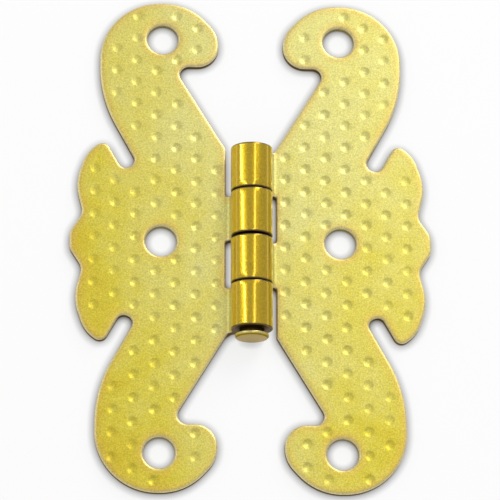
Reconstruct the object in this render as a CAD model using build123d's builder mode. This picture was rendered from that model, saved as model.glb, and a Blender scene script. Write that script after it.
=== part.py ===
from build123d import *
import os
from math import acos, atan2, degrees, floor, radians, sqrt, tan

# Butterfly hinge lying open on its back, in millimetres.
# X runs across the hinge to the right leaf, Y runs up along the pin, Z comes out of the front face.
# The backs of the leaves lie on Z = 0, and the pin's axis runs along Y at X = 0.

# Sheet metal
sheet = 1.2                    # thickness of the sheet that each leaf is pressed from
edge_break = 0.25              # bevel for the edge that the blanking die rolls over along the front

# Barrel: each leaf has two knuckles, and those of the other leaf fill the places between them
barrel_radius = 3.05           # outside of a rolled knuckle
bend_radius = 0.8              # hollow of the bend where a leaf rises into its knuckle
seam_gap = 0.4                 # from the end of the roll to the back of that bend
knuckle_length = 6.75
knuckle_gap = 0.13             # between the outer and the inner knuckle at each end
middle_gap = 0.34              # between the two inner knuckles
notch_corner = 0.5             # rounding at the foot of a knuckle
knuckle_flare = 0.2            # rounding where the wing's slope meets the outer knuckle's end

# Pin
pin_clearance = 0.05           # running clearance round the pin
head_seat = 0.7                # neck that shows between the barrel and the head
head_radius = 2.45             # collar of the riveted head
collar_height = 0.45
collar_bevel = 0.12
face_radius = 2.3              # raised face on the end of the head
face_height = 0.15
face_bevel = 0.1
tip_height = 0.25              # by which the plain end stands out of the top knuckle
tip_bevel = 0.2

# Screw holes: three in a line down each leaf
screw_line = 13.1              # from the pin's axis to the line of holes
screw_spacing = 31.5
screw_hole_radius = 2.3

# Wing outline, as corners measured from the middle screw hole, each with the radius that rounds it
wing_reach = 13.25             # middle hole to the tip of the middle lobe
lobe_half_width = 1.3
lobe_round = 1.9
dip_reach = 11.4               # hollow between the middle lobe and the side lobe
dip_rise = 4.15
dip_round = 2.0
side_lobe_reach = 12.6
side_lobe_rise = 8.8
side_lobe_round = 7.5
shoulder_reach = 10.9          # corner where the side lobe turns in to its tip
shoulder_rise = 13.8
shoulder_round = 5.3
horn_reach = 8.3               # tip of the side lobe
horn_rise = 15.5
horn_round = 1.2
slot_outer_reach = 5.7         # blind end of the slot beside the side lobe
slot_outer_rise = 10.9
slot_inner_reach = 3.6
slot_inner_rise = 11.9
slot_round = 1.1
flank_reach = 9.2              # long sweep up the outside of the wing
flank_rise = 22.2
flank_round = 19.0

# Scroll head, as corners measured from the end screw hole
crown_reach_out = 9.3
crown_rise = 5.8
crown_round = 9.0
crown_reach_in = 3.8
crown_inner_round = 8.4
nose_reach = 8.3               # curled tip of the scroll, on the pin's side
nose_rise = 1.0
nose_round = 4.7
throat_drop = 4.25             # underside of the scroll
chin_round = 3.25
throat_reach = 1.6             # corner where the scroll meets the slope down to the barrel
throat_round = 1.3

# Slope from the scroll to the barrel
root_rise = 0.55               # of the slope's foot above the end of the barrel
root_round = 0.6

# Hammered dents: hollows in staggered columns, each with flat sides down to a flat floor
dent_radius = 0.75             # to the corners of the rim
dent_depth = 0.16
dent_floor_inset = 0.38        # from the rim in to the floor
dent_sides = 8
dent_column_pitch = 2.96
dent_row_pitch = 3.45
dent_first_column = 5.04       # from the pin's axis
dent_row_phase = 2.81          # height of one dent of the first column above the middle hole
dent_border = 0.75             # plain border that is left outside the rim of a dent

# Worked out from the sizes above
bore_radius = barrel_radius - sheet
pin_radius = bore_radius - pin_clearance
barrel_half = middle_gap / 2 + 2 * knuckle_length + knuckle_gap
root_x = sqrt((barrel_radius + bend_radius) ** 2 - (barrel_radius - sheet - bend_radius) ** 2)
tool_depth = 3 * barrel_radius
max_side_use = 0.99            # share of a straight side that the rounds at its ends may take


def rolled_section():
    """Edge view of a leaf, from the flat of the wing up the bend and round the pin."""
    axis_point = (0, barrel_radius)
    bend_point = (root_x, sheet + bend_radius)
    to_barrel = degrees(atan2(axis_point[1] - bend_point[1], axis_point[0] - bend_point[0]))
    roll_start = to_barrel - 180
    apart = barrel_radius + bend_radius
    seam_reach = bend_radius + sheet + seam_gap
    seam_turn = acos((apart**2 + barrel_radius**2 - seam_reach**2) / (2 * apart * barrel_radius))
    roll_end = roll_start + 360 - degrees(seam_turn)
    far_x = screw_line + wing_reach + sheet
    with BuildSketch(Plane.XZ) as section:
        with BuildLine():
            Line((far_x, sheet), (root_x, sheet))
            CenterArc(bend_point, bend_radius, 270, to_barrel - 270)
            outside = CenterArc(axis_point, barrel_radius, roll_start, roll_end - roll_start)
            inside = CenterArc(axis_point, bore_radius, roll_start, roll_end - roll_start)
            Line(outside @ 1, inside @ 1)
            CenterArc(bend_point, bend_radius + sheet, 270, to_barrel - 270)
            Line((root_x, 0), (far_x, 0))
            Line((far_x, 0), (far_x, sheet))
        make_face()
    return section.sketch


def wing_corners():
    """Corners of the upper half of a wing, from its middle lobe to its throat, with their radii."""
    crown_y = screw_spacing + crown_rise
    nose_x = screw_line - nose_reach
    throat_y = screw_spacing - throat_drop
    return [
        (screw_line + wing_reach, lobe_half_width, lobe_round),
        (screw_line + dip_reach, dip_rise, dip_round),
        (screw_line + side_lobe_reach, side_lobe_rise, side_lobe_round),
        (screw_line + shoulder_reach, shoulder_rise, shoulder_round),
        (screw_line + horn_reach, horn_rise, horn_round),
        (screw_line + slot_outer_reach, slot_outer_rise, slot_round),
        (screw_line + slot_inner_reach, slot_inner_rise, slot_round),
        (screw_line + flank_reach, flank_rise, flank_round),
        (screw_line + crown_reach_out, crown_y, crown_round),
        (screw_line - crown_reach_in, crown_y, crown_inner_round),
        (nose_x, screw_spacing + nose_rise, nose_round),
        (nose_x, throat_y, chin_round),
        (screw_line - throat_reach, throat_y, throat_round),
    ]


def fitted_rounds(corners):
    """Radii of a closed outline's corners, each held to what its two straight sides have room for."""
    points = [Vector(x, y, 0) for x, y, _ in corners]
    radii = [radius for _, _, radius in corners]
    count = len(points)
    sides = [points[(i + 1) % count] - points[i] for i in range(count)]
    turns = [radians(sides[i - 1].get_angle(sides[i])) for i in range(count)]
    for i in range(count):
        j = (i + 1) % count
        used = radii[i] * tan(turns[i] / 2) + radii[j] * tan(turns[j] / 2)
        room = max_side_use * sides[i].length
        if used > room:
            radii[i] *= room / used
            radii[j] *= room / used
    return radii


def blank_outline():
    """Plan of the right leaf: the wing, and the two tabs that are rolled into knuckles."""
    upper = wing_corners()
    lower = [(x, -y, radius) for x, y, radius in reversed(upper)]
    throat_x, throat_y, _ = upper[-1]
    root_y = barrel_half + root_rise
    slope = (throat_x - root_x) / (throat_y - root_y)
    flare_x = root_x - root_rise * slope
    tab_x = -2 * barrel_radius
    outer_knuckle_y = barrel_half - knuckle_length
    inner_knuckle_y = -middle_gap / 2
    corners = upper + [
        (flare_x, barrel_half, knuckle_flare),
        (tab_x, barrel_half, 0),
        (tab_x, outer_knuckle_y, 0),
        (root_x, outer_knuckle_y, notch_corner),
        (root_x, inner_knuckle_y, notch_corner),
        (tab_x, inner_knuckle_y, 0),
        (tab_x, inner_knuckle_y - knuckle_length, 0),
        (root_x, inner_knuckle_y - knuckle_length, notch_corner),
        (root_x, -root_y, root_round),
    ] + lower
    with BuildSketch() as blank:
        with BuildLine():
            FilletPolyline([(x, y) for x, y, _ in corners], radius=fitted_rounds(corners), close=True)
        make_face()
        with Locations((screw_line, 0)):
            with GridLocations(0, screw_spacing, 1, 3):
                Circle(screw_hole_radius, mode=Mode.SUBTRACT)
    return blank.sketch


def dent_centres(blank):
    """Centres of the dents that lie whole on the flat of the wing, clear of its edges and holes."""
    wing = blank.face()
    inset = dent_radius + dent_border
    columns = floor((screw_line + wing_reach - dent_first_column) / dent_column_pitch) + 1
    rows = floor(2 * screw_spacing / dent_row_pitch)
    centres = []
    for column in range(columns):
        x = dent_first_column + column * dent_column_pitch
        stagger = dent_row_pitch / 2 * (column % 2)
        for row in range(-rows, rows + 1):
            centre = Vector(x, dent_row_phase + stagger + row * dent_row_pitch, 0)
            rim_distance = min(edge.distance_to(centre) for edge in wing.edges())
            if wing.is_inside(centre) and rim_distance > inset and x - root_x > dent_radius:
                centres.append(centre)
    return centres


def is_hollow_round(edge, wing):
    """True for an arc whose centre lies off the metal: a hollow in the outline, or the rim of a hole."""
    if edge.geom_type != GeomType.CIRCLE:
        return False
    centre = edge.arc_center
    return not wing.is_inside(Vector(centre.X, centre.Y, 0))


def pin_profile():
    """Half section of the pin: riveted head below the bottom knuckle, plain bevelled end at the top."""
    seat_y = -barrel_half - head_seat
    collar_y = seat_y - collar_height
    face_y = collar_y - face_height
    tip_y = barrel_half + tip_height
    corners = [
        (0, tip_y),
        (pin_radius - tip_bevel, tip_y),
        (pin_radius, tip_y - tip_bevel),
        (pin_radius, seat_y),
        (head_radius - collar_bevel, seat_y),
        (head_radius, seat_y - collar_bevel),
        (head_radius, collar_y + collar_bevel),
        (head_radius - collar_bevel, collar_y),
        (face_radius, collar_y),
        (face_radius, face_y + face_bevel),
        (face_radius - face_bevel, face_y),
        (0, face_y),
    ]
    with BuildSketch(Plane.XY.offset(barrel_radius)) as profile:
        with BuildLine():
            Polyline(corners, close=True)
        make_face()
    return profile.sketch


os.makedirs("parts", exist_ok=True)

# Point of the tool that strikes the dents, standing on the floor of a dent at the origin
with BuildPart() as dent_punch:
    with BuildSketch(Plane.XY.offset(sheet - dent_depth)):
        RegularPolygon(dent_radius, dent_sides)
    extrude(amount=2 * dent_depth)
    floor_face = dent_punch.faces().sort_by(Axis.Z)[0]
    chamfer(floor_face.edges(), length=dent_floor_inset, length2=dent_depth, reference=floor_face)

# Right leaf: the rolled section trimmed to its blank, then bevelled along the front edges and dented.
# The bevel runs on from each hollow round along the whole of the smooth outline that it belongs to.
with BuildPart() as right_leaf:
    blank = blank_outline()
    extrude(rolled_section(), amount=screw_spacing + crown_rise + sheet, both=True)
    extrude(blank, amount=tool_depth, both=True, mode=Mode.INTERSECT)
    wing_faces = right_leaf.faces().filter_by(Plane.XY).sort_by(SortBy.AREA)[-2:]
    front_edges = wing_faces.sort_by(Axis.Z)[-1].edges()
    chamfer(front_edges.filter_by(lambda edge: is_hollow_round(edge, blank.face())), edge_break)
    with Locations(dent_centres(blank)):
        add(dent_punch.part, mode=Mode.SUBTRACT)
right_leaf.part.label = "right_leaf"
export_step(right_leaf.part, "parts/right_leaf.step")

# Left leaf: the same pressing, turned half round so that its knuckles fall between those of the right
with BuildPart() as left_leaf:
    add(right_leaf.part, rotation=(0, 0, 180))
left_leaf.part.label = "left_leaf"
export_step(left_leaf.part, "parts/left_leaf.step")

# Pin
with BuildPart() as pin:
    revolve(pin_profile(), axis=Axis((0, 0, barrel_radius), (0, 1, 0)))
pin.part.label = "pin"
export_step(pin.part, "parts/pin.step")
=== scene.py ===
import logging
from dataclasses import dataclass, field
from enum import Enum
from math import acos, atan2, ceil, cos, floor, pi, radians, sin, sqrt, tan

import bmesh
import bpy
import numpy as np
from mathutils import Matrix, Vector
from mathutils.geometry import delaunay_2d_cdt


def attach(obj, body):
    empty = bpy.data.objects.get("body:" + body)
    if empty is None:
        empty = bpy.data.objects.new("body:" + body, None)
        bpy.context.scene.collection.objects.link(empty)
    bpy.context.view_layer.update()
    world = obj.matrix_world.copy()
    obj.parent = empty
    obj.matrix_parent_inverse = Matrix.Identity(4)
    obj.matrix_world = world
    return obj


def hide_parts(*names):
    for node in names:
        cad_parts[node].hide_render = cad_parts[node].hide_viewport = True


# Butterfly hinge lying open on its back. X runs across the hinge to the right leaf, Y runs up along the
# pin and Z comes out of the front face. Sizes are in millimetres and meshes are in metres.

LOG = logging.getLogger("butterfly_hinge")
MM = 0.001
PICTURE_SIDE = 500
WIDEST_TURN = radians(9)  # between two samples of an arc
FEWEST_STEPS = 3          # along an arc
NOISE_SPAN = {"From Min": 0.3, "From Max": 0.7}  # most values of a noise texture lie in it

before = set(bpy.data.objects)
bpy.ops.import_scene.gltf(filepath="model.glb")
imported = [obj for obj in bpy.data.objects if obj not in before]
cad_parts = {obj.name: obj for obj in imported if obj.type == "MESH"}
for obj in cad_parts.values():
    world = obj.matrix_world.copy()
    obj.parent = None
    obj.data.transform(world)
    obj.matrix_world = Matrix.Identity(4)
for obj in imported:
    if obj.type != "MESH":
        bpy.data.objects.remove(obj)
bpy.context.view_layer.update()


class Hand(Enum):
    """The two leaves: node and body, turn about Z from the right leaf's place, and seed of the dents."""

    RIGHT = ("right_leaf", 0.0, 11)
    LEFT = ("left_leaf", pi, 23)

    @property
    def node(self) -> str:
        """Name of the leaf's node, which is also the name of its body."""
        return self.value[0]

    @property
    def turn(self) -> float:
        """Turn about Z in radians."""
        return self.value[1]

    @property
    def seed(self) -> int:
        """Seed for the unevenness of this leaf's dents."""
        return self.value[2]


class Surface(Enum):
    """Material slots of a leaf's mesh."""

    FACE = 0
    EDGE = 1
    BACK = 2
    BORE = 3


def linear(hex_colour: str) -> tuple[float, float, float, float]:
    """Turn an sRGB colour into Blender's linear one.

    Args:
        hex_colour: Colour as "#rrggbb".

    Returns:
        Red, green, blue and an alpha of 1, linear.
    """
    parts = [int(hex_colour[i:i + 2], 16) / 255 for i in (1, 3, 5)]
    return tuple(c / 12.92 if c <= 0.04045 else ((c + 0.055) / 1.055) ** 2.4 for c in parts) + (1.0,)


def add_node(tree: bpy.types.NodeTree, kind: str, values: dict | None = None) -> bpy.types.Node:
    """Add a node, and set or link its inputs and properties.

    Args:
        tree: Node tree that gets the node.
        kind: Blender's name of the node type.
        values: Constants, or output sockets to link, by input name, input number or property name.

    Returns:
        The new node.
    """
    node = tree.nodes.new(kind)
    for key, value in (values or {}).items():
        if isinstance(value, bpy.types.NodeSocket):
            tree.links.new(value, node.inputs[key])
        elif isinstance(key, int) or key in node.inputs:
            node.inputs[key].default_value = value
        else:
            setattr(node, key, value)
    return node


def smooth_step(low: float, high: float, value: np.ndarray | float) -> np.ndarray | float:
    """Ease from 0 at low to 1 at high.

    Args:
        low: Value that gives 0.
        high: Value that gives 1.
        value: Values to ease.

    Returns:
        Eased shares.
    """
    share = np.clip((value - low) / (high - low), 0.0, 1.0)
    return share * share * (3 - 2 * share)


def rounded_loop(corners: list[tuple[float, float, float]], step: float) -> np.ndarray:
    """Sample a closed outline whose corners are rounded by arcs.

    Args:
        corners: X, Y and radius of each corner, anticlockwise.
        step: Longest distance between samples.

    Returns:
        Points in order, one row each.
    """
    points = np.array([(x, y) for x, y, _ in corners])
    loop = []
    for i, (here, radius) in enumerate(zip(points, [c[2] for c in corners])):
        if radius == 0:
            loop.append([here])
            continue
        before = points[i - 1] - here
        after = points[(i + 1) % len(points)] - here
        before /= np.linalg.norm(before)
        after /= np.linalg.norm(after)
        turn = pi - acos(float(np.clip(before @ after, -1, 1)))
        reach = radius * tan(turn / 2)
        start, end = here + before * reach, here + after * reach
        centre = here + (before + after) / np.linalg.norm(before + after) * radius / cos(turn / 2)
        arms = start - centre, end - centre
        first = atan2(arms[0][1], arms[0][0])
        swing = (atan2(arms[1][1], arms[1][0]) - first + pi) % (2 * pi) - pi
        count = max(FEWEST_STEPS, ceil(abs(swing) * radius / step), ceil(abs(swing) / WIDEST_TURN))
        angles = first + swing * np.linspace(0, 1, count + 1)
        loop.append(centre + radius * np.column_stack([np.cos(angles), np.sin(angles)]))
    loop = np.vstack(loop)
    filled = []
    for a, b in zip(loop, np.roll(loop, -1, axis=0)):
        count = max(1, ceil(np.linalg.norm(b - a) / step))
        filled.append(a + (b - a) * np.arange(count)[:, None] / count)
    return np.vstack(filled)


def rim_distance(points: np.ndarray, loops: list[np.ndarray]) -> np.ndarray:
    """Distance of each point from the nearest outline.

    Args:
        points: Points, one row each.
        loops: Closed outlines.

    Returns:
        Distances, below zero off the metal.
    """
    nearest = np.full(len(points), np.inf)
    crossings = np.zeros(len(points), int)
    for loop in loops:
        for a, b in zip(loop, np.roll(loop, -1, axis=0)):
            side = b - a
            share = np.clip((points - a) @ side / (side @ side), 0, 1)
            gap = points - a - share[:, None] * side
            nearest = np.minimum(nearest, np.einsum("ij,ij->i", gap, gap))
            if a[1] != b[1]:
                spans = (a[1] > points[:, 1]) != (b[1] > points[:, 1])
                crossings += spans & (points[:, 0] < a[0] + side[0] * (points[:, 1] - a[1]) / side[1])
    return np.sqrt(nearest) * np.where(crossings % 2 == 1, 1, -1)


@dataclass(frozen=True)
class RolledSheet:
    """Sheet that lies flat, bends up and rolls round the pin.

    A point of it is given by how far along the sheet's front it lies, which on the flat is its X, and by
    its depth under the front.
    """

    thickness: float = 1.2
    barrel_radius: float = 3.05
    bend_radius: float = 0.8
    seam_gap: float = 0.4

    @property
    def root(self) -> float:
        """X at which the flat ends and the bend begins."""
        apart = self.barrel_radius + self.bend_radius
        return sqrt(apart**2 - (self.barrel_radius - self.thickness - self.bend_radius) ** 2)

    @property
    def lean(self) -> float:
        """Angle by which the line from the bend's centre to the pin's axis rises."""
        return atan2(self.barrel_radius - self.thickness - self.bend_radius, self.root)

    @property
    def bend_end(self) -> float:
        """Place along the sheet where the bend ends and the roll begins."""
        return self.root - self.bend_radius * (pi / 2 + self.lean)

    @property
    def tab_end(self) -> float:
        """Place along the sheet of its rolled-in end."""
        apart = self.barrel_radius + self.bend_radius
        seam = self.bend_radius + self.thickness + self.seam_gap
        seam_turn = acos((apart**2 + self.barrel_radius**2 - seam**2) / (2 * apart * self.barrel_radius))
        return self.bend_end - self.barrel_radius * (2 * pi - seam_turn)

    def place(self, along: np.ndarray, depth: np.ndarray) -> tuple[np.ndarray, np.ndarray]:
        """Place points of the sheet in the hinge.

        Args:
            along: Places along the sheet.
            depth: Depths under its front.

        Returns:
            X and Z of the points.
        """
        bend_angle = 1.5 * pi - (self.root - along) / self.bend_radius
        bend_x = self.root + (self.bend_radius + depth) * np.cos(bend_angle)
        bend_z = self.thickness + self.bend_radius + (self.bend_radius + depth) * np.sin(bend_angle)
        roll_angle = (self.bend_end - along) / self.barrel_radius - self.lean
        roll_x = (self.barrel_radius - depth) * np.cos(roll_angle)
        roll_z = self.barrel_radius + (self.barrel_radius - depth) * np.sin(roll_angle)
        parts = [along >= self.root, along >= self.bend_end]
        x = np.select(parts, [along, bend_x], roll_x)
        z = np.select(parts, [self.thickness - depth, bend_z], roll_z)
        return x, z


@dataclass(frozen=True)
class LeafOutline:
    """Plan of the right leaf before it is rolled: a scrolled wing with two tabs."""

    screw_line: float = 13.1
    screw_spacing: float = 31.5
    hole_radius: float = 2.3
    knuckle_length: float = 6.75
    knuckle_gap: float = 0.13
    middle_gap: float = 0.34
    notch_corner: float = 0.38
    knuckle_flare: float = 0.2
    root_rise: float = 0.55
    root_round: float = 0.6
    step: float = 0.22
    hole_points: int = 64

    @property
    def barrel_half(self) -> float:
        """Half the length of the four knuckles."""
        return self.middle_gap / 2 + 2 * self.knuckle_length + self.knuckle_gap

    def wing_corners(self) -> list[tuple[float, float, float]]:
        """Corners of the wing's upper half.

        Returns:
            X, Y and radius of each corner, from the middle lobe round the scroll to its throat.
        """
        from_middle = [
            (13.25, 1.3, 1.9),      # middle lobe
            (11.4, 4.15, 2.0),      # hollow beside it
            (12.6, 8.8, 7.5),       # side lobe
            (10.9, 13.8, 5.3),
            (8.3, 15.5, 1.2),       # its tip
            (5.7, 10.9, 1.1),       # blind end of the slot
            (3.6, 11.9, 1.1),
            (9.2, 22.2, 19.0),      # flank
        ]
        from_end = [
            (9.3, 5.8, 9.0),        # crown of the scroll
            (-3.8, 5.8, 8.4),
            (-8.3, 1.0, 4.7),       # curled tip
            (-8.3, -4.25, 3.25),
            (-1.6, -4.25, 1.3),     # throat
        ]
        corners = from_middle + [(x, self.screw_spacing + y, radius) for x, y, radius in from_end]
        return [(self.screw_line + x, y, radius) for x, y, radius in corners]

    def loops(self, sheet: RolledSheet) -> list[np.ndarray]:
        """Sample the outline and the screw holes.

        Args:
            sheet: The sheet that the tabs are rolled from.

        Returns:
            The outline anticlockwise, then the holes clockwise, so that metal is always on the left.
        """
        upper = self.wing_corners()
        lower = [(x, -y, radius) for x, y, radius in reversed(upper)]
        throat_x, throat_y, _ = upper[-1]
        root, end = sheet.root, sheet.tab_end
        root_y = self.barrel_half + self.root_rise
        flare_x = root - self.root_rise * (throat_x - root) / (throat_y - root_y)
        outer_y = self.barrel_half - self.knuckle_length
        inner_y = -self.middle_gap / 2
        tabs = [
            (flare_x, self.barrel_half, self.knuckle_flare),
            (end, self.barrel_half, 0.0),
            (end, outer_y, 0.0),
            (root, outer_y, self.notch_corner),
            (root, inner_y, self.notch_corner),
            (end, inner_y, 0.0),
            (end, inner_y - self.knuckle_length, 0.0),
            (root, inner_y - self.knuckle_length, self.notch_corner),
            (root, -root_y, self.root_round),
        ]
        turns = -np.linspace(0, 2 * pi, self.hole_points, endpoint=False)
        ring = self.hole_radius * np.column_stack([np.cos(turns), np.sin(turns)])
        holes = [ring + (self.screw_line, row * self.screw_spacing) for row in (-1, 0, 1)]
        return [rounded_loop(upper + tabs + lower, self.step)] + holes


@dataclass(frozen=True)
class HammerDents:
    """Staggered columns of small round hollows, struck a little unevenly."""

    radius: float = 0.76
    depth: float = 0.15
    column_pitch: float = 2.96
    row_pitch: float = 3.45
    first_column: float = 5.04
    row_phase: float = 2.81
    border: float = 0.45
    stray: float = 0.07
    weakest: float = 0.72
    strongest: float = 1.12
    fading: float = 0.3             # the outer columns are struck this much more weakly,
    fading_from: float = 12.0       # growing over these distances from the pin
    fading_to: float = 22.0
    roundness: float = 1.15
    rings: int = 6
    spokes: int = 22

    def centres(self, outline: LeafOutline, loops: list[np.ndarray], sheet: RolledSheet) -> np.ndarray:
        """Find the dents that lie on the flat, clear of the rim.

        Args:
            outline: Plan of the leaf.
            loops: Its sampled outlines.
            sheet: The rolled sheet.

        Returns:
            X and Y of the centres, one row each.
        """
        rows = floor(2 * outline.screw_spacing / self.row_pitch)
        columns = ceil(outline.screw_line * 2 / self.column_pitch)
        lattice = np.array([
            (self.first_column + column * self.column_pitch,
             self.row_phase + self.row_pitch * (row + column % 2 / 2))
            for column in range(columns) for row in range(-rows, rows + 1)
        ])
        clear = rim_distance(lattice, loops) > self.radius + self.border
        return lattice[clear & (lattice[:, 0] > sheet.root + self.radius)]

    def hollow(self, points: np.ndarray, centres: np.ndarray, seed: int) -> np.ndarray:
        """Depth of the hammered surface under the flat.

        Args:
            points: Points on the sheet.
            centres: Middles of the dents.
            seed: Seed for how unevenly they are struck.

        Returns:
            Depths.
        """
        chance = np.random.default_rng(seed)
        depth = np.zeros(len(points))
        for centre in centres:
            force = chance.uniform(self.weakest, self.strongest)
            force *= 1 - self.fading * smooth_step(self.fading_from, self.fading_to, centre[0])
            middle = centre + chance.uniform(-self.stray, self.stray, 2)
            share = np.linalg.norm(points - middle, axis=1) / self.radius
            depth += self.depth * force * np.clip(1 - share**2, 0, 1) ** self.roundness
        return depth


@dataclass(frozen=True)
class RolledEdge:
    """Front edge as the blanking die leaves it: pulled down in a quarter of an ellipse."""

    width: float = 0.38
    drop: float = 0.28
    knuckle_share: float = 0.5
    narrow_until: float = 0.6       # before the end of the flat; from there
    wide_from: float = 1.2          # to here, on the flat, it grows to its full width
    steps: int = 4

    def scale(self, along: np.ndarray, sheet: RolledSheet) -> np.ndarray:
        """How wide the edge is here, as a share of its width on the wing.

        Args:
            along: Places along the sheet.
            sheet: The rolled sheet.

        Returns:
            Shares, smaller on the knuckles.
        """
        on_wing = smooth_step(sheet.root - self.narrow_until, sheet.root + self.wide_from, along)
        return self.knuckle_share + (1 - self.knuckle_share) * on_wing

    def depth(self, distance: np.ndarray, scale: np.ndarray) -> np.ndarray:
        """How far the front has dropped.

        Args:
            distance: Distances from the rim.
            scale: Shares from scale().

        Returns:
            Depths under the front.
        """
        inward = np.clip(1 - distance / (self.width * scale), 0, 1)
        return self.drop * scale * (1 - np.sqrt(1 - inward**2))


@dataclass
class Blank:
    """Blanked sheet of one leaf before it is hammered and rolled: points and triangles of both sides."""

    sheet: RolledSheet
    outline: LeafOutline
    dents: HammerDents
    edge: RolledEdge
    grid_reach: float = 27.2        # the grid ends just past the wing's lobes and its crowns
    grid_height: float = 37.5
    flat_pitch: float = 0.62
    back_coarseness: int = 3
    row_pitch: float = 0.87         # of the flat pitch, which makes the triangles even
    roll_pitch: float = 0.7
    bend_points: int = 10
    roll_points: int = 74
    root_margin: float = 0.2
    dent_margin: float = 0.22
    ring_margin: float = 0.1
    rim_margin: float = 0.08
    row_slack: float = 0.97         # how much nearer to the rim a point may be than its row
    row_tolerance: float = 0.001
    merge_reach: float = 1e-7
    loops: list[np.ndarray] = field(init=False)
    centres: np.ndarray = field(init=False)
    front: np.ndarray = field(init=False)
    front_faces: np.ndarray = field(init=False)
    back: np.ndarray = field(init=False)
    back_faces: np.ndarray = field(init=False)
    distance: np.ndarray = field(init=False)

    def __post_init__(self) -> None:
        """Lay out the outline, the dents and the two skins."""
        self.loops = self.outline.loops(self.sheet)
        self.centres = self.dents.centres(self.outline, self.loops, self.sheet)
        self.front, self.front_faces = self.skin(np.vstack([self.edge_rings(), self.filling(True)]))
        self.back, self.back_faces = self.skin(self.filling(False))
        self.distance = np.maximum(rim_distance(self.front, self.loops), 0)
        self.distance[:sum(len(loop) for loop in self.loops)] = 0

    def filling(self, fine: bool) -> np.ndarray:
        """Points inside the outline that carry the form.

        Args:
            fine: True for the hammered front, False for the plain back.

        Returns:
            Points on the sheet.
        """
        sheet, dents, half = self.sheet, self.dents, self.outline.barrel_half
        pitch = self.flat_pitch if fine else self.back_coarseness * self.flat_pitch
        flat = [
            (x + row % 2 * pitch / 2, y)
            for row, y in enumerate(
                np.arange(-self.grid_height, self.grid_height, pitch * self.row_pitch)
            )
            for x in np.arange(sheet.root + self.root_margin, self.grid_reach, pitch)
        ]
        bend = np.linspace(sheet.root, sheet.bend_end, self.bend_points)
        roll = np.linspace(sheet.bend_end, sheet.tab_end, self.roll_points)[1:]
        rows = np.arange(-half, half, self.roll_pitch)
        points = np.array(flat + [(x, y) for x in np.concatenate([bend, roll]) for y in rows])
        if fine:
            near = np.linalg.norm(points[:, None] - self.centres, axis=2).min(axis=1)
            points = points[near > dents.radius + self.dent_margin]
            turns = np.linspace(0, 2 * pi, dents.spokes, endpoint=False)
            for ring in range(dents.rings + 1):
                radius = (dents.radius + self.ring_margin) * ring / dents.rings
                spokes = turns + ring * pi / dents.spokes if ring else turns[:1]
                circle = radius * np.column_stack([np.cos(spokes), np.sin(spokes)])
                points = np.vstack([points, (self.centres[:, None] + circle).reshape(-1, 2)])
        distance = rim_distance(points, self.loops)
        margin = self.edge.width * self.edge.scale(points[:, 0], sheet) if fine else 0.0
        return points[distance > margin + self.rim_margin]

    def edge_rings(self) -> np.ndarray:
        """Rows of points that follow the rim over the rolled edge.

        Returns:
            Points on the sheet.
        """
        rows = []
        for loop in self.loops:
            tangent = np.roll(loop, -1, axis=0) - np.roll(loop, 1, axis=0)
            inward = np.column_stack([-tangent[:, 1], tangent[:, 0]])
            inward /= np.linalg.norm(inward, axis=1)[:, None]
            scale = self.edge.scale(loop[:, 0], self.sheet)
            for step in range(1, self.edge.steps + 1):
                away = self.edge.width * scale * (1 - cos(step * pi / 2 / self.edge.steps))
                row = loop + inward * away[:, None]
                # In a tight corner the rows cross, and what lies nearer to another part is left out.
                least = away * self.row_slack - self.row_tolerance
                rows.append(row[rim_distance(row, self.loops) > least])
        return np.vstack(rows)

    def skin(self, inside: np.ndarray) -> tuple[np.ndarray, np.ndarray]:
        """Cover the metal with triangles.

        Args:
            inside: Points inside the outlines.

        Returns:
            Points, those of the outlines first, and triangles.
        """
        edges, first = [], 0
        for loop in self.loops:
            count = len(loop)
            edges += [(first + i, first + (i + 1) % count) for i in range(count)]
            first += count
        points = np.vstack(self.loops + [inside])
        result = delaunay_2d_cdt([Vector(p) for p in points], edges, [], 0, self.merge_reach, True)
        where = np.array([tuple(p) for p in result[0]])
        triangles = np.array([f for f in result[2] if len(f) == 3])
        keep = rim_distance(where[triangles].mean(axis=1), self.loops) > 0
        # A point that lies on an outline's edge splits it, and the new point is kept at the end.
        back_to = np.array([origins[0] if origins else -1 for origins in result[3]])
        added = back_to < 0
        back_to[added] = len(points) + np.arange(added.sum())
        return np.vstack([points, where[added]]), back_to[triangles[keep]]


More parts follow.
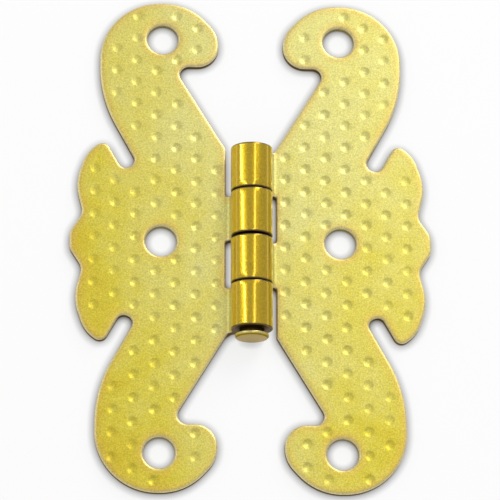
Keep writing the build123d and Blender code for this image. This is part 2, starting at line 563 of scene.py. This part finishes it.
@dataclass
class LeafPressing:
    """One leaf: its blank, hammered and rolled into two knuckles."""

    hand: Hand
    blank: Blank
    rim_width: float = 1.6          # the finish changes over this distance from the rim,
    roll_fade: float = 0.5          # and over this one to each side of the roll's beginning
    crease_deg: float = 50.0

    def build(self) -> bpy.types.Object:
        """Make the leaf's mesh, in place, with the shares that its finish reads.

        Returns:
            The leaf.
        """
        blank, sheet, edge = self.blank, self.blank.sheet, self.blank.edge
        front, back = blank.front, blank.back
        depth = edge.depth(blank.distance, edge.scale(front[:, 0], sheet))
        depth += blank.dents.hollow(front, blank.centres, self.hand.seed)
        along = np.concatenate([front[:, 0], back[:, 0]])
        height = np.concatenate([front[:, 1], back[:, 1]])
        x, z = sheet.place(along, np.concatenate([depth, np.full(len(back), sheet.thickness)]))

        faces = [tuple(f) for f in blank.front_faces]
        surfaces = [Surface.FACE] * len(faces)
        faces += [tuple(f[::-1]) for f in blank.back_faces + len(front)]
        surfaces += [Surface.BACK] * len(blank.back_faces)
        first = 0
        for loop in blank.loops:
            wall = Surface.EDGE if first == 0 else Surface.BORE
            for i in range(len(loop)):
                a, b = first + i, first + (i + 1) % len(loop)
                faces.append((a, a + len(front), b + len(front), b))
                surfaces.append(wall)
            first += len(loop)

        mesh = bpy.data.meshes.new(self.hand.node + "_pressing")
        mesh.from_pydata(np.column_stack([x, height, z]) * MM, [], faces)
        mesh.polygons.foreach_set("material_index", [s.value for s in surfaces])
        distance = np.concatenate([blank.distance, np.zeros(len(back))])
        rim_share = 1 - smooth_step(0.0, self.rim_width, distance)
        fade = self.roll_fade
        roll_share = 1 - smooth_step(sheet.bend_end - fade, sheet.bend_end + fade, along)
        for name, shares in (("rim_share", rim_share), ("roll_share", roll_share)):
            mesh.attributes.new(name, "FLOAT", "POINT").data.foreach_set("value", shares)
        mesh.transform(Matrix.Rotation(self.hand.turn, 4, "Z"))
        mesh.shade_smooth()
        mesh.set_sharp_from_angle(angle=radians(self.crease_deg))
        mesh.update()
        leaf = bpy.data.objects.new(self.hand.node + "_pressing", mesh)
        bpy.context.scene.collection.objects.link(leaf)
        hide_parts(self.hand.node)
        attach(leaf, self.hand.node)
        LOG.info("%s: %d dents, %d faces", leaf.name, len(blank.centres), len(faces))
        return leaf

    def dress(self, leaf: bpy.types.Object, finishes: dict[Surface, bpy.types.Material]) -> None:
        """Give the leaf its finishes.

        Args:
            leaf: The leaf's object.
            finishes: The finish of each kind of surface.
        """
        for surface in Surface:
            leaf.data.materials.append(finishes[surface])


@dataclass
class HingePin:
    """Plain pin with a riveted head under the bottom knuckle."""

    sheet: RolledSheet
    outline: LeafOutline
    shank_radius: float = 1.8
    head_seat: float = 0.7
    head_radius: float = 2.45
    collar_height: float = 0.45
    face_radius: float = 2.3
    face_height: float = 0.15
    tip_height: float = 0.25
    face_round: float = 0.12
    seat_round: float = 0.1
    tip_round: float = 0.24
    inner_ring: float = 0.5         # of the end face, which keeps its triangles short
    round_steps: int = 6
    segments: int = 72
    crease_deg: float = 40.0
    merge_mm: float = 0.0001

    def profile(self) -> list[tuple[float, float]]:
        """Half section of the pin.

        Returns:
            Distance from the axis and Y of each point, from the end of the head to the tip.
        """
        half = self.outline.barrel_half
        seat = -half - self.head_seat
        collar = seat - self.collar_height
        face = collar - self.face_height
        tip = half + self.tip_height
        rounds = [
            (self.face_radius, face, self.face_round, -90),
            (self.head_radius, collar, self.face_round, -90),
            (self.head_radius, seat, self.seat_round, 0),
            (self.shank_radius, tip, self.tip_round, 0),
        ]
        arcs = []
        for radius, y, bend, start in rounds:
            middle = (radius - bend, y + bend if start else y - bend)
            turns = [radians(start + 90 * i / self.round_steps) for i in range(self.round_steps + 1)]
            arcs.append([(middle[0] + bend * cos(t), middle[1] + bend * sin(t)) for t in turns])
        end_face = [(0.0, face), (self.face_radius * self.inner_ring, face)]
        neck = [(self.shank_radius, seat), (self.shank_radius, -half)]
        return end_face + arcs[0] + arcs[1] + arcs[2] + neck + arcs[3] + [(0.0, tip)]

    def build(self) -> bpy.types.Object:
        """Turn the profile round the pin's axis.

        Returns:
            The pin.
        """
        profile = self.profile()
        axis_z = self.sheet.barrel_radius
        turns = np.linspace(0, 2 * pi, self.segments, endpoint=False)
        points, faces = [], []
        for radius, y in profile:
            points += [(radius * cos(t), y, axis_z + radius * sin(t)) for t in turns]
        for row in range(len(profile) - 1):
            for i in range(self.segments):
                a, b = row * self.segments + i, row * self.segments + (i + 1) % self.segments
                faces.append((b, a, a + self.segments, b + self.segments))
        mesh = bpy.data.meshes.new("riveted_pin")
        mesh.from_pydata(np.array(points) * MM, [], faces)
        work = bpy.data.objects.new("riveted_pin", mesh)
        bpy.context.scene.collection.objects.link(work)
        clean_up(mesh, self.merge_mm * MM)
        mesh.shade_smooth()
        mesh.set_sharp_from_angle(angle=radians(self.crease_deg))
        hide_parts("pin")
        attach(work, "left_leaf")
        LOG.info("%s: %d faces", work.name, len(mesh.polygons))
        return work


def clean_up(mesh: bpy.types.Mesh, reach: float) -> None:
    """Merge the points that meet and turn every face outwards.

    Args:
        mesh: Mesh to clean.
        reach: Longest distance between points that are merged, in metres.
    """
    work = bmesh.new()
    work.from_mesh(mesh)
    bmesh.ops.remove_doubles(work, verts=work.verts, dist=reach)
    bmesh.ops.recalc_face_normals(work, faces=work.faces)
    work.to_mesh(mesh)
    work.free()


@dataclass(frozen=True)
class PlatedSteel:
    """Thin brass plate, through which the grain of the steel shows in tint, gloss and relief.

    The real grain is too fine for the picture to show, so it is drawn as coarse as it has to be.
    """

    name: str
    grain_mm: float = 0.3
    grain_detail: float = 3.0
    grain_harshness: float = 0.6
    darkest: float = 0.7
    lightest: float = 1.15
    gloss_swing: float = 0.2
    relief_mm: float = 0.03

    def start(self) -> tuple[bpy.types.Material, bpy.types.NodeSocket, bpy.types.NodeSocket]:
        """Start a metal.

        Returns:
            The material, the place on the object and the grain.
        """
        material = bpy.data.materials.new(self.name)
        material.use_nodes = True
        tree = material.node_tree
        tree.nodes["Principled BSDF"].inputs["Metallic"].default_value = 1.0
        place = add_node(tree, "ShaderNodeTexCoord").outputs["Object"]
        grain = add_node(tree, "ShaderNodeTexNoise", {
            "Scale": 1 / (self.grain_mm * MM),
            "Detail": self.grain_detail,
            "Roughness": self.grain_harshness,
            "Vector": place,
        }).outputs["Fac"]
        return material, place, grain

    def join(
        self,
        material: bpy.types.Material,
        grain: bpy.types.NodeSocket,
        colour: bpy.types.NodeSocket,
        unevenness: bpy.types.NodeSocket,
        roughness: bpy.types.NodeSocket | float,
        relief: bpy.types.NodeSocket | float,
    ) -> None:
        """Join colour, gloss and relief to a metal.

        Args:
            material: The metal.
            grain: Its grain.
            colour: Its colour before the grain varies it.
            unevenness: Noise that the roughness swings with.
            roughness: Roughness at the low end of the swing.
            relief: Strength of the grain's relief.
        """
        tree = material.node_tree
        shader = tree.nodes["Principled BSDF"]
        shade = add_node(tree, "ShaderNodeMapRange", {
            **NOISE_SPAN, "To Min": self.darkest, "To Max": self.lightest, "Value": grain,
        }).outputs["Result"]
        tint = add_node(tree, "ShaderNodeVectorMath", {
            "operation": "SCALE", 0: colour, "Scale": shade,
        }).outputs[0]
        gloss = add_node(tree, "ShaderNodeMath", {
            "operation": "MULTIPLY_ADD", 0: unevenness, 1: self.gloss_swing, 2: roughness,
        }).outputs[0]
        bump = add_node(tree, "ShaderNodeBump", {
            "Strength": relief, "Distance": self.relief_mm * MM, "Height": grain,
        }).outputs["Normal"]
        tree.links.new(tint, shader.inputs["Base Color"])
        tree.links.new(gloss, shader.inputs["Roughness"])
        tree.links.new(bump, shader.inputs["Normal"])


@dataclass(frozen=True)
class SatinBrassPlate(PlatedSteel):
    """Brass-plated steel sheet with a fine satin grain.

    The grain breaks each reflection into soft sparkle, so that the wings look evenly lit and the knuckles,
    burnished by the rolling, show brighter streaks.
    """

    name: str = "Satin_Brass_Plate_On_Hammered_Steel"
    grain_mm: float = 0.23
    grain_harshness: float = 0.7
    darkest: float = 0.75
    lightest: float = 1.22
    gloss_swing: float = 0.12
    pale: str = "#dcd585"
    gold: str = "#dacb4c"
    amber: str = "#cfae26"
    # A tan tone near the rim, varied by the cloud noise.
    tan: str = "#e0bb62"
    # Painted highlight: a cream line along the rim.
    rim_highlight: str = "#f0e9c4"
    knuckle: str = "#cfad00"
    # Painted shade: a dark line along the knuckles' rims, where they meet.
    joint_shade: str = "#61470f"
    mottle_mm: float = 2.6
    mottle_detail: float = 4.0
    mottle_harshness: float = 0.62
    mottle_share: float = 0.5
    cloud_mm: float = 11.0
    cloud_detail: float = 3.0
    cloud_harshness: float = 0.55
    cloud_share: float = 0.9
    outward_sheen_fade: float = 22.0      # per metre, painted light: the gold deepens away from the barrel, and to the lower left, so that it is paler where a painted sheen lies
    slant_sheen_fade: tuple[float, float, float] = (-6.0, -9.0, 0.0)  # and to the lower left
    gold_span: tuple[float, float] = (0.67, 1.37)
    amber_span: tuple[float, float] = (1.32, 1.92)
    rim_highlight_span: tuple[float, float] = (0.86, 0.97)
    rim_highlight_share: float = 0.5
    joint_shade_span: tuple[float, float] = (0.93, 0.99)
    wing_roughness: float = 0.42
    knuckle_roughness: float = 0.2
    lacquer_roughness: float = 0.06
    wing_relief: float = 0.6
    knuckle_relief: float = 0.15

    def make(self) -> bpy.types.Material:
        """Make the material.

        Returns:
            The finish of the fronts and knuckles.
        """
        material, place, grain = self.start()
        tree = material.node_tree
        roll, rim = [
            add_node(tree, "ShaderNodeAttribute", {"attribute_name": name}).outputs["Fac"]
            for name in ("roll_share", "rim_share")
        ]
        mottle, cloud = [
            add_node(tree, "ShaderNodeTexNoise", {
                "Scale": 1 / (size * MM), "Detail": detail, "Roughness": harshness, "Vector": place,
            }).outputs["Fac"]
            for size, detail, harshness in (
                (self.mottle_mm, self.mottle_detail, self.mottle_harshness),
                (self.cloud_mm, self.cloud_detail, self.cloud_harshness),
            )
        ]

        # Painted light: the tone deepens away from the barrel and towards the lower left, as a painted
        # sheen fades; the mottle and cloud add a random tone.
        across = add_node(tree, "ShaderNodeSeparateXYZ", {"Vector": place}).outputs["X"]
        outward = add_node(tree, "ShaderNodeMath", {"operation": "ABSOLUTE", 0: across}).outputs[0]
        depth = add_node(tree, "ShaderNodeVectorMath", {
            "operation": "DOT_PRODUCT", 0: place, 1: self.slant_sheen_fade,
        }).outputs["Value"]
        for part, gain in (
            (outward, self.outward_sheen_fade), (mottle, self.mottle_share), (cloud, self.cloud_share),
        ):
            depth = add_node(tree, "ShaderNodeMath", {
                "operation": "MULTIPLY_ADD", 0: part, 1: gain, 2: depth,
            }).outputs[0]
        # The cream line along the rim is a painted highlight.
        to_gold, to_amber, rim_glint, gap = [
            add_node(tree, "ShaderNodeMapRange", {
                "From Min": low, "From Max": high, "To Max": most, "Value": value,
            }).outputs["Result"]
            for value, (low, high), most in (
                (depth, self.gold_span, 1.0),
                (depth, self.amber_span, 1.0),
                (rim, self.rim_highlight_span, self.rim_highlight_share),
                (rim, self.joint_shade_span, 1.0),
            )
        ]
        # The dark line on the knuckles' rims is painted shade.
        rim_tan, joint = [
            add_node(tree, "ShaderNodeMath", {"operation": "MULTIPLY", 0: where, 1: amount}).outputs[0]
            for where, amount in ((rim, cloud), (gap, roll))
        ]

        colour = add_node(tree, "ShaderNodeRGB").outputs[0]
        colour.default_value = linear(self.pale)
        for share, tone in (
            (to_gold, self.gold), (to_amber, self.amber), (rim_tan, self.tan),
            (rim_glint, self.rim_highlight), (roll, self.knuckle), (joint, self.joint_shade),
        ):
            colour = add_node(tree, "ShaderNodeMix", {
                "data_type": "RGBA", 0: share, 6: colour, 7: linear(tone),
            }).outputs[2]
        low_swing = self.gloss_swing / 2
        roughness, relief = [
            add_node(tree, "ShaderNodeMapRange", {
                "To Min": on_wing, "To Max": on_knuckle, "Value": roll,
            }).outputs["Result"]
            for on_wing, on_knuckle in (
                (self.wing_roughness - low_swing, self.knuckle_roughness - low_swing),
                (self.wing_relief, self.knuckle_relief),
            )
        ]
        self.join(material, grain, colour, mottle, roughness, relief)
        shader = tree.nodes["Principled BSDF"]
        tree.links.new(roll, shader.inputs["Coat Weight"])
        shader.inputs["Coat Roughness"].default_value = self.lacquer_roughness
        return material


@dataclass(frozen=True)
class UnworkedBrassPlate(PlatedSteel):
    """Brass plate where the sheet is neither hammered nor burnished: blanked walls, bores and backs.

    On the blanked walls it is painted a dark brown that stands for the shade they lie in, and is rougher
    than the face, so that the outline reads as a thin dark line.
    """

    # Painted shade: the dark brown of the blanked walls.
    colour: str = "#6a4f16"
    roughness: float = 0.5
    relief: float = 0.5

    def make(self) -> bpy.types.Material:
        """Make the material.

        Returns:
            The finish of a wall, a bore or a back.
        """
        material, _, grain = self.start()
        colour = add_node(material.node_tree, "ShaderNodeRGB").outputs[0]
        colour.default_value = linear(self.colour)
        self.join(material, grain, colour, grain, self.roughness - self.gloss_swing / 2, self.relief)
        return material


@dataclass(frozen=True)
class RivetedBrassPin(PlatedSteel):
    """Brass-plated steel wire, cut and riveted over.

    The end of its head is a deep gold, the flange is painted pale as a highlight, and the neck above it
    painted dark as shade.
    """

    name: str = "Brass_Plate_On_Drawn_Steel_Pin"
    grain_mm: float = 0.16
    grain_detail: float = 2.0
    darkest: float = 0.82
    lightest: float = 1.1
    gloss_swing: float = 0.16
    relief_mm: float = 0.02
    end_colour: str = "#a58800"
    # Painted highlight on the flange, and painted shade on the neck under the knuckle.
    flange_highlight: str = "#d8cb84"
    neck_shade: str = "#3c2f12"
    flange_highlight_from: tuple[float, float] = (-14.94, -14.86)  # the colours change between these heights
    neck_shade_from: tuple[float, float] = (-14.55, -14.45)
    roughness: float = 0.3
    relief: float = 0.3

    def make(self) -> bpy.types.Material:
        """Make the material.

        Returns:
            The finish of the pin.
        """
        material, place, grain = self.start()
        tree = material.node_tree
        up = add_node(tree, "ShaderNodeSeparateXYZ", {"Vector": place}).outputs["Y"]
        colour = add_node(tree, "ShaderNodeRGB").outputs[0]
        colour.default_value = linear(self.end_colour)
        for (low, high), tone in (
            (self.flange_highlight_from, self.flange_highlight), (self.neck_shade_from, self.neck_shade),
        ):
            share = add_node(tree, "ShaderNodeMapRange", {
                "From Min": low * MM, "From Max": high * MM, "Value": up,
            }).outputs["Result"]
            colour = add_node(tree, "ShaderNodeMix", {
                "data_type": "RGBA", 0: share, 6: colour, 7: linear(tone),
            }).outputs[2]
        self.join(material, grain, colour, grain, self.roughness - self.gloss_swing / 2, self.relief)
        return material


@dataclass(frozen=True)
class StudioPaper:
    """White paper under the hinge: it stays white to the eye and to the metal, and keeps the shadow."""

    colour: str = "#ffffff"
    shade: str = "#8a7648"
    shade_reach: float = 1.2
    shade_power: float = 1.3
    shade_samples: int = 16
    white_span: tuple[float, float] = (0.3, 0.6)
    glow_share: float = 0.75

    def make(self) -> bpy.types.Material:
        """Make the material.

        Returns:
            The floor's finish.
        """
        material = bpy.data.materials.new("White_Studio_Paper")
        material.use_nodes = True
        tree = material.node_tree
        tree.nodes.remove(tree.nodes["Principled BSDF"])
        rays = add_node(tree, "ShaderNodeLightPath")
        seen = rays.outputs["Is Camera Ray"]
        for kind in ("Is Glossy Ray", "Is Transmission Ray"):
            seen = add_node(tree, "ShaderNodeMath", {
                "operation": "MAXIMUM", 0: seen, 1: rays.outputs[kind],
            }).outputs[0]
        share = add_node(tree, "ShaderNodeMath", {
            "operation": "MULTIPLY", 0: seen, 1: self.glow_share,
        }).outputs[0]
        matt = add_node(tree, "ShaderNodeBsdfDiffuse", {"Color": linear(self.colour)}).outputs[0]
        # Painted shadow: the glow dims where metal hems the floor in, and there turns brown as a painted
        # reflection of the brass.
        open_sky = add_node(tree, "ShaderNodeAmbientOcclusion", {
            "samples": self.shade_samples, "Distance": self.shade_reach * MM,
        }).outputs["AO"]
        level = add_node(tree, "ShaderNodeMath", {
            "operation": "POWER", 0: open_sky, 1: self.shade_power,
        }).outputs[0]
        white_share = add_node(tree, "ShaderNodeMapRange", {
            "From Min": self.white_span[0], "From Max": self.white_span[1], "Value": open_sky,
        }).outputs["Result"]
        tone = add_node(tree, "ShaderNodeMix", {
            "data_type": "RGBA", 0: white_share, 6: linear(self.shade), 7: linear(self.colour),
        }).outputs[2]
        glow = add_node(tree, "ShaderNodeEmission", {"Color": tone, "Strength": level}).outputs[0]
        mixed = add_node(tree, "ShaderNodeMixShader", {0: share, 1: matt, 2: glow}).outputs[0]
        tree.links.new(mixed, tree.nodes["Material Output"].inputs["Surface"])
        return material


@dataclass(frozen=True)
class Softbox:
    """One rectangular lamp in the direction that it hangs in, aimed at the hinge."""

    name: str
    towards: tuple[float, float, float]
    width: float
    length: float
    brightness: float
    distance: float = 700.0

    def build(self) -> None:
        """Hang the lamp."""
        lamp = bpy.data.lights.new(self.name, "AREA")
        lamp.shape = "RECTANGLE"
        lamp.size, lamp.size_y = self.width * MM, self.length * MM
        lamp.energy = self.brightness * pi * lamp.size * lamp.size_y
        away = Vector(self.towards).normalized()
        box = bpy.data.objects.new(self.name, lamp)
        box.location = away * self.distance * MM
        box.rotation_euler = away.to_track_quat("Z", "Y").to_euler()
        bpy.context.scene.collection.objects.link(box)


@dataclass(frozen=True)
class Studio:
    """White floor, soft light and the camera above the lower edge of the hinge.

    The camera's turns are in degrees.
    """

    floor_size: float = 6000.0
    floor_gap: float = 0.02
    left_level: float = 0.66
    right_level: float = 0.56
    tilt: float = -17.59
    swing: float = 3.05
    roll: float = 0.06
    shift_x: float = 0.09
    shift_y: float = 0.80
    distance: float = 393.4
    focal_pixels: float = 2695.3
    sensor: float = 36.0
    nearest: float = 10.0
    farthest: float = 20000.0

    def lay_floor(self) -> None:
        """Lay the paper just under the backs of the leaves."""
        half = self.floor_size / 2
        corners = [(-half, -half), (half, -half), (half, half), (-half, half)]
        mesh = bpy.data.meshes.new("studio_floor")
        mesh.from_pydata([(x * MM, y * MM, -self.floor_gap * MM) for x, y in corners], [], [(0, 1, 2, 3)])
        paper = bpy.data.objects.new("studio_floor", mesh)
        mesh.materials.append(StudioPaper().make())
        bpy.context.scene.collection.objects.link(paper)

    def light(self) -> None:
        """Set the even room light and hang the softboxes."""
        world = bpy.data.worlds.new("studio_room")
        world.use_nodes = True
        tree = world.node_tree
        direction = add_node(tree, "ShaderNodeTexCoord").outputs["Generated"]
        across = add_node(tree, "ShaderNodeSeparateXYZ", {"Vector": direction}).outputs["X"]
        level = add_node(tree, "ShaderNodeMapRange", {
            "From Min": -1.0, "From Max": 1.0,
            "To Min": self.left_level, "To Max": self.right_level, "Value": across,
        }).outputs["Result"]
        tree.links.new(level, tree.nodes["Background"].inputs["Strength"])
        tree.nodes["Background"].inputs["Color"].default_value = (1.0, 1.0, 1.0, 1.0)
        bpy.context.scene.world = world
        for box in (
            Softbox("key_softbox", (0.45, 0.70, 0.55), 320, 460, 4.6),
            Softbox("crown_strip", (0.225, 0.30, 0.93), 72, 520, 2.5),
            Softbox("side_strip", (-0.72, 0.30, 0.62), 34, 520, 6.0),
        ):
            box.build()

    def set_camera(self) -> None:
        """Place the camera where the photograph was taken from."""
        lens = bpy.data.cameras.new("photo_camera")
        lens.sensor_width = self.sensor
        lens.lens = self.focal_pixels / PICTURE_SIDE * self.sensor
        lens.clip_start, lens.clip_end = self.nearest * MM, self.farthest * MM
        turn = (
            Matrix.Rotation(radians(self.tilt), 3, "X")
            @ Matrix.Rotation(radians(self.swing), 3, "Y")
            @ Matrix.Rotation(radians(self.roll), 3, "Z")
        )
        view = Vector((self.shift_x, self.shift_y, -self.distance))
        place = turn.transposed() @ -view
        camera = bpy.data.objects.new("photo_camera", lens)
        camera.matrix_world = Matrix.Translation(place * MM) @ turn.transposed().to_4x4()
        bpy.context.scene.collection.objects.link(camera)
        bpy.context.scene.camera = camera


def main() -> None:
    """Build the leaves, the pin and the studio."""
    sheet, outline = RolledSheet(), LeafOutline()
    blank = Blank(sheet, outline, HammerDents(), RolledEdge())
    finishes = {
        Surface.FACE: SatinBrassPlate(),
        Surface.EDGE: UnworkedBrassPlate("Brass_Plate_On_Blanked_Steel_Edge_Painted_Shade"),
        Surface.BACK: UnworkedBrassPlate(
            "Brass_Plate_On_Rolled_Steel_Back", colour="#dccb6c", roughness=0.42,
        ),
        # Painted reflection: the bores are pale, as if they showed the white floor.
        Surface.BORE: UnworkedBrassPlate(
            "Brass_Plate_On_Punched_Steel_Bore_Painted_Reflection", colour="#a89a50", roughness=0.35,
        ),
    }
    materials = {surface: finish.make() for surface, finish in finishes.items()}
    for hand in Hand:
        pressing = LeafPressing(hand, blank)
        pressing.dress(pressing.build(), materials)
    HingePin(sheet, outline).build().data.materials.append(RivetedBrassPin().make())
    studio = Studio()
    studio.lay_floor()
    studio.light()
    studio.set_camera()
    bpy.context.scene.view_settings.view_transform = "Standard"


if __name__ == "__main__":
    logging.basicConfig(level=logging.INFO)
    main()
